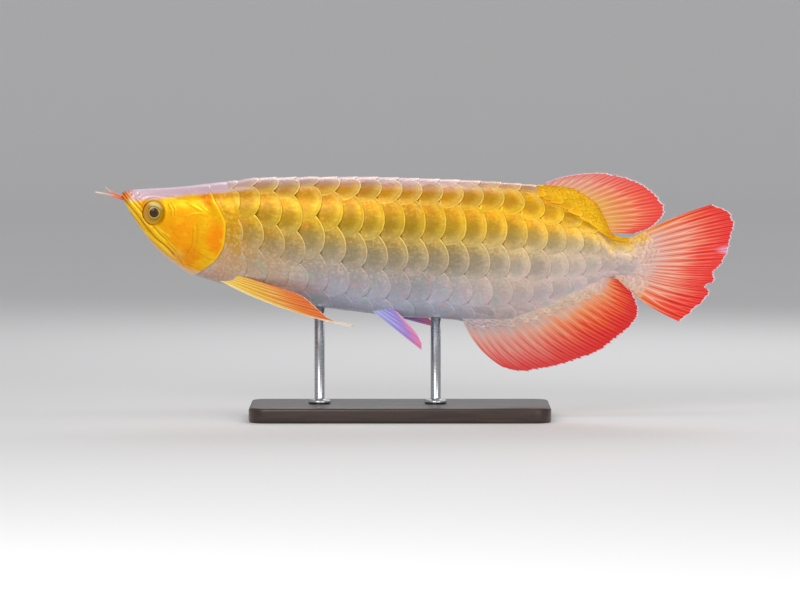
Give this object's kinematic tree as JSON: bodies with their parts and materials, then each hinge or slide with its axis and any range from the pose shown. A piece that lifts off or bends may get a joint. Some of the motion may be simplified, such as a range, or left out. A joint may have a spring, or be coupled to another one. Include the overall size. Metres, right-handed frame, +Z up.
{
  "type": "asian arowana",
  "caption": "Life-size still model of an Asian arowana with golden scales and red fins, held level by rods over a flat display base.",
  "frame": {"origin": "centre of the underside of the display base", "axes": "+X from head to tail along the fish, +Z up, the fish's left flank towards -Y"},
  "size_m": [0.5112, 0.11, 0.1967],
  "materials": {
    "head_skin": "satin, golden with a pale pink crown",
    "jaw_skin": "satin",
    "barbel": "satin",
    "eye": "wet gloss",
    "scales": "satin with a metallic sheen, gold above and pale lilac below",
    "red_fin": "satin, paler at the root",
    "gold_fin": "satin",
    "lilac_fin": "satin",
    "base_wood": "dark, satin lacquer",
    "rod_steel": "brushed"
  },
  "bodies": {
    "root": {"head": "head_skin", "gill_cover_left": "head_skin", "gill_cover_right": "head_skin", "lower_jaw": "jaw_skin", "barbel_left": "barbel", "barbel_right": "barbel", "eye_left": "eye", "eye_right": "eye", "trunk_front": "scales", "trunk_mid": "scales", "trunk_rear": "scales", "tail_peduncle": "scales", "dorsal_fin": "red_fin", "anal_fin": "red_fin", "caudal_fin": "red_fin", "pectoral_fin_left": "gold_fin", "pectoral_fin_right": "gold_fin", "pelvic_fin_left": "lilac_fin", "pelvic_fin_right": "lilac_fin", "stand_base": "base_wood", "stand_rod_front": "rod_steel", "stand_rod_rear": "rod_steel"}
  },
  "joints": []
}
